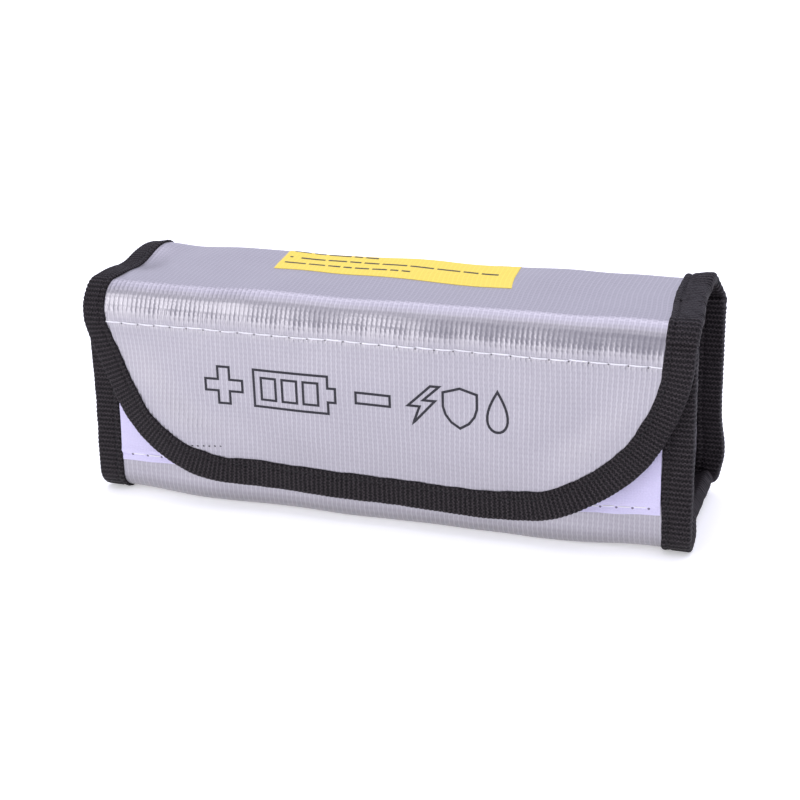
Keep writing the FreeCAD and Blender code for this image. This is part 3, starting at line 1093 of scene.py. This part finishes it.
def printed_signs():
    """A row of plain outlined signs: plus, cell with its cap, minus, bolt, shield and drop."""
    low, high = 37.4, 50.2
    middle = (low + high) / 2
    tall = (high - low) / 2
    cell = [(-40, low), (-14.5, low), (-14.5, middle - 2.4), (-12, middle - 2.4), (-12, middle + 2.4)]
    cell += [(-14.5, middle + 2.4), (-14.5, high), (-40, high)]
    shapes = [cross(-50.6, middle, tall, 2.0), cell]
    for k in range(3):
        shapes.append(rectangle(-37.4 + k * 7.3, -32.4 + k * 7.3, low + 2.6, high - 2.6))
    shapes.append(rectangle(-5.2, 6.2, middle - 1.8, middle + 1.8))
    bolt = [(3.2, tall), (-4.2, -0.6), (-0.4, -0.6), (-2.6, -tall), (4.6, 1.6), (0.8, 1.6), (6.0, tall)]
    shapes.append([(16.4 + x, middle + z) for x, z in bolt])
    half_shield = [(0, 6.4), (5.4, 4.8), (5.4, 0.2), (4.6, -2.4), (2.8, -4.7), (0, -6.4)]
    shield = half_shield + [(-x, z) for x, z in half_shield[-2:0:-1]]
    shapes.append([(29.0 + x, middle + z) for x, z in shield])
    turns = np.arange(1, 28) * 2 * math.pi / 28
    drop = [(4.4 * math.sin(a) * math.sin(a / 2) ** 1.1, tall * math.cos(a)) for a in turns]
    shapes.append([(41.0 + x, middle + z) for x, z in [(0, tall)] + drop])
    piece = build("flap_print", *join_parts([outline_parts(shape) for shape in shapes]), ink)
    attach(piece, "front_flap")


# ---------------- stage


def aim(piece, axes, place):
    """Put an object in the scene at that place, with its right, up and back axes."""
    rows = zip(np.column_stack(axes), place)
    piece.matrix_world = Matrix([[*row, p] for row, p in rows] + [[0, 0, 0, 1]])
    bpy.context.scene.collection.objects.link(piece)


def floor():
    """A wide pale disc that glows a little, so that it reads nearly white."""
    look = bpy.data.materials.new("floor")
    look.use_nodes = True
    shader = look.node_tree.nodes["Principled BSDF"]
    shader.inputs["Base Color"].default_value = (0.96, 0.96, 0.96, 1)
    shader.inputs["Roughness"].default_value = 0.9
    shader.inputs["Emission Color"].default_value = (1, 1, 1, 1)
    shader.inputs["Emission Strength"].default_value = 0.36
    radius, count = 12.0, 96
    turns = np.arange(count) * 2 * math.pi / count
    ring = [(radius * math.cos(a), radius * math.sin(a), 0.0) for a in turns]
    mesh = bpy.data.meshes.new("floor")
    mesh.from_pydata(ring, [], [list(range(count))])
    mesh.materials.append(look)
    piece = bpy.data.objects.new("floor", mesh)
    bpy.context.scene.collection.objects.link(piece)


def surroundings():
    """Light from all round, cooler than white and stronger from behind the bag."""
    world = bpy.data.worlds.new("studio")
    world.use_nodes = True
    background = world.node_tree.nodes["Background"]
    background.inputs["Color"].default_value = (0.82, 0.82, 1.0, 1)
    nodes, links = world.node_tree.nodes, world.node_tree.links
    heading = nodes.new("ShaderNodeTexCoord")
    parts = nodes.new("ShaderNodeSeparateXYZ")
    strength = nodes.new("ShaderNodeMapRange")
    limits = (("From Min", -0.35), ("From Max", 0.1), ("To Min", 0.6), ("To Max", 1.1))
    for socket, value in limits:
        strength.inputs[socket].default_value = value
    links.new(heading.outputs["Generated"], parts.inputs[0])
    links.new(parts.outputs["Y"], strength.inputs["Value"])
    links.new(strength.outputs["Result"], background.inputs["Strength"])
    bpy.context.scene.world = world


def lamps():
    def softbox(name, place, size, power, tint=(1, 1, 1)):
        lamp = bpy.data.lights.new(name, "AREA")
        lamp.shape = "RECTANGLE"
        lamp.size, lamp.size_y = size
        lamp.energy = power
        lamp.color = tint
        piece = bpy.data.objects.new(name, lamp)
        back = np.array(place, float) - (0, 0, 0.035)
        back /= np.linalg.norm(back)
        right = np.cross((0, 0, 1), back)
        right /= np.linalg.norm(right)
        aim(piece, [right, np.cross(back, right), back], place)

    softbox("key_front_left", (-1.0, -1.1, 0.6), (0.75, 1.0), 6.5)
    softbox("fill_right", (1.5, -0.3, 0.7), (0.7, 1.2), 2)
    softbox("over_the_top", (0.0, 0.35, 1.6), (2.0, 1.9), 14, (0.88, 0.87, 1.0))
    softbox("high_in_front", (-0.3, -0.75, 1.5), (1.4, 0.6), 2.6)
    softbox("low_in_front", (-0.3, -1.5, 0.22), (0.9, 0.3), 1.8)

    scene = bpy.context.scene
    scene.view_settings.view_transform = "Standard"
    scene.view_settings.look = "None"


def camera():
    """Three-quarter view from the front right and above, with a long lens."""
    azimuth, elevation, roll = (math.radians(a) for a in (19.84, 20.47, -1.71))
    level = math.cos(elevation)
    back = np.array([math.sin(azimuth) * level, -math.cos(azimuth) * level, math.sin(elevation)])
    right = np.array([math.cos(azimuth), math.sin(azimuth), 0.0])
    up = np.cross(back, right)
    rolled_right = right * math.cos(roll) + up * math.sin(roll)
    rolled_up = up * math.cos(roll) - right * math.sin(roll)
    place = (np.array([-1.24, 0.0, 32.77]) + back * 537.4) * MM
    lens = bpy.data.cameras.new("camera")
    lens.sensor_width = 36.0
    lens.lens = 72.92
    lens.clip_start, lens.clip_end = 0.01, 50
    piece = bpy.data.objects.new("camera", lens)
    aim(piece, [rolled_right, rolled_up, back], place)
    bpy.context.scene.camera = piece


camera()
floor()
surroundings()
lamps()
cloth_layers()
end_walls()
bindings()
threads()
closure()
label()
printed_signs()
